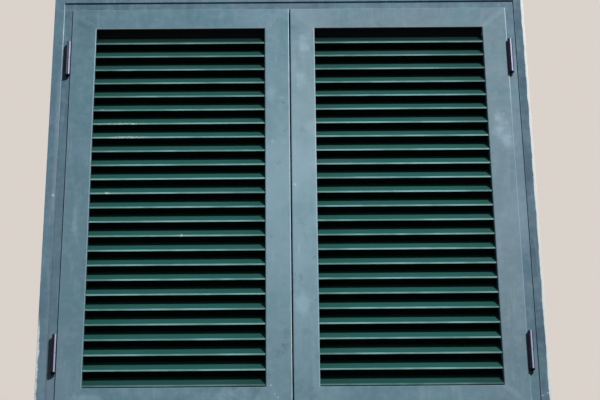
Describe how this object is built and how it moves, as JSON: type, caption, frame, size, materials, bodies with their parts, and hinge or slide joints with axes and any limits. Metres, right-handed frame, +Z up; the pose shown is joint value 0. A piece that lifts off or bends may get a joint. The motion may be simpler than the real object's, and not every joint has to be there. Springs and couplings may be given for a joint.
{
  "type": "louvred shutters",
  "caption": "Pair of hinged steel louvred shutter leaves closed in a fixed frame, with barrel hinges outside and a hooked lock rod with a drop handle on the room side.",
  "frame": {"origin": "middle of the frame's underside, where it stands on the masonry sill", "axes": "+X to the right seen from the street, +Y from the street into the room, +Z up"},
  "size_m": [1.164, 0.0967, 1.219],
  "materials": {
    "frame_paint": "weathered satin",
    "leaf_paint": "weathered satin, chalky",
    "slat_paint": "satin",
    "hinge_steel": "turned, dull",
    "washer_brass": "dull",
    "lock_paint": "satin, worn",
    "zinc_steel": "zinc plated"
  },
  "bodies": {
    "frame": {"sill": "frame_paint", "left_jamb": "frame_paint", "head": "frame_paint", "right_jamb": "frame_paint", "left_bottom_hinge_jamb_half": "hinge_steel", "left_bottom_hinge_pin": "hinge_steel", "left_bottom_hinge_washer": "washer_brass", "left_top_hinge_jamb_half": "hinge_steel", "left_top_hinge_pin": "hinge_steel", "left_top_hinge_washer": "washer_brass", "right_bottom_hinge_jamb_half": "hinge_steel", "right_bottom_hinge_pin": "hinge_steel", "right_bottom_hinge_washer": "washer_brass", "right_top_hinge_jamb_half": "hinge_steel", "right_top_hinge_pin": "hinge_steel", "right_top_hinge_washer": "washer_brass", "head_keeper": "lock_paint", "sill_keeper": "lock_paint", "keeper_screws": "zinc_steel"},
    "left_leaf": {"left_bottom_rail": "leaf_paint", "left_hinge_stile": "leaf_paint", "left_top_rail": "leaf_paint", "left_meeting_stile": "leaf_paint", "left_slats": "slat_paint", "left_bottom_hinge_leaf_half": "hinge_steel", "left_top_hinge_leaf_half": "hinge_steel", "handle_catch": "lock_paint", "catch_screws": "zinc_steel"},
    "right_leaf": {"right_bottom_rail": "leaf_paint", "right_hinge_stile": "leaf_paint", "right_top_rail": "leaf_paint", "right_meeting_stile": "leaf_paint", "right_slats": "slat_paint", "right_bottom_hinge_leaf_half": "hinge_steel", "right_top_hinge_leaf_half": "hinge_steel", "rod_guide_1": "lock_paint", "rod_guide_2": "lock_paint", "rod_guide_3": "lock_paint", "rod_guide_4": "lock_paint", "guide_screws": "zinc_steel"},
    "rod": {"lock_rod": "lock_paint", "top_hook": "lock_paint", "bottom_hook": "lock_paint", "handle_fork": "lock_paint", "handle_pin": "zinc_steel"},
    "handle": {"handle": "lock_paint"}
  },
  "joints": [
    {"name": "left_leaf_swing", "type": "hinge", "parent": "frame", "child": "left_leaf", "pos_m": [-0.542, -0.0255, 0.6095], "axis": [0, 0, -1], "range_deg": [0, 175]},
    {"name": "right_leaf_swing", "type": "hinge", "parent": "frame", "child": "right_leaf", "pos_m": [0.542, -0.0255, 0.6095], "axis": [0, 0, 1], "range_deg": [0, 175]},
    {"name": "rod_turn", "type": "hinge", "parent": "right_leaf", "child": "rod", "pos_m": [0.0391, 0.031, 0.6095], "axis": [0, 0, 1], "range_deg": [0, 90]},
    {"name": "handle_lift", "type": "hinge", "parent": "rod", "child": "handle", "pos_m": [0.0391, 0.054, 0.6095], "axis": [1, 0, 0], "range_deg": [0, 115]}
  ]
}
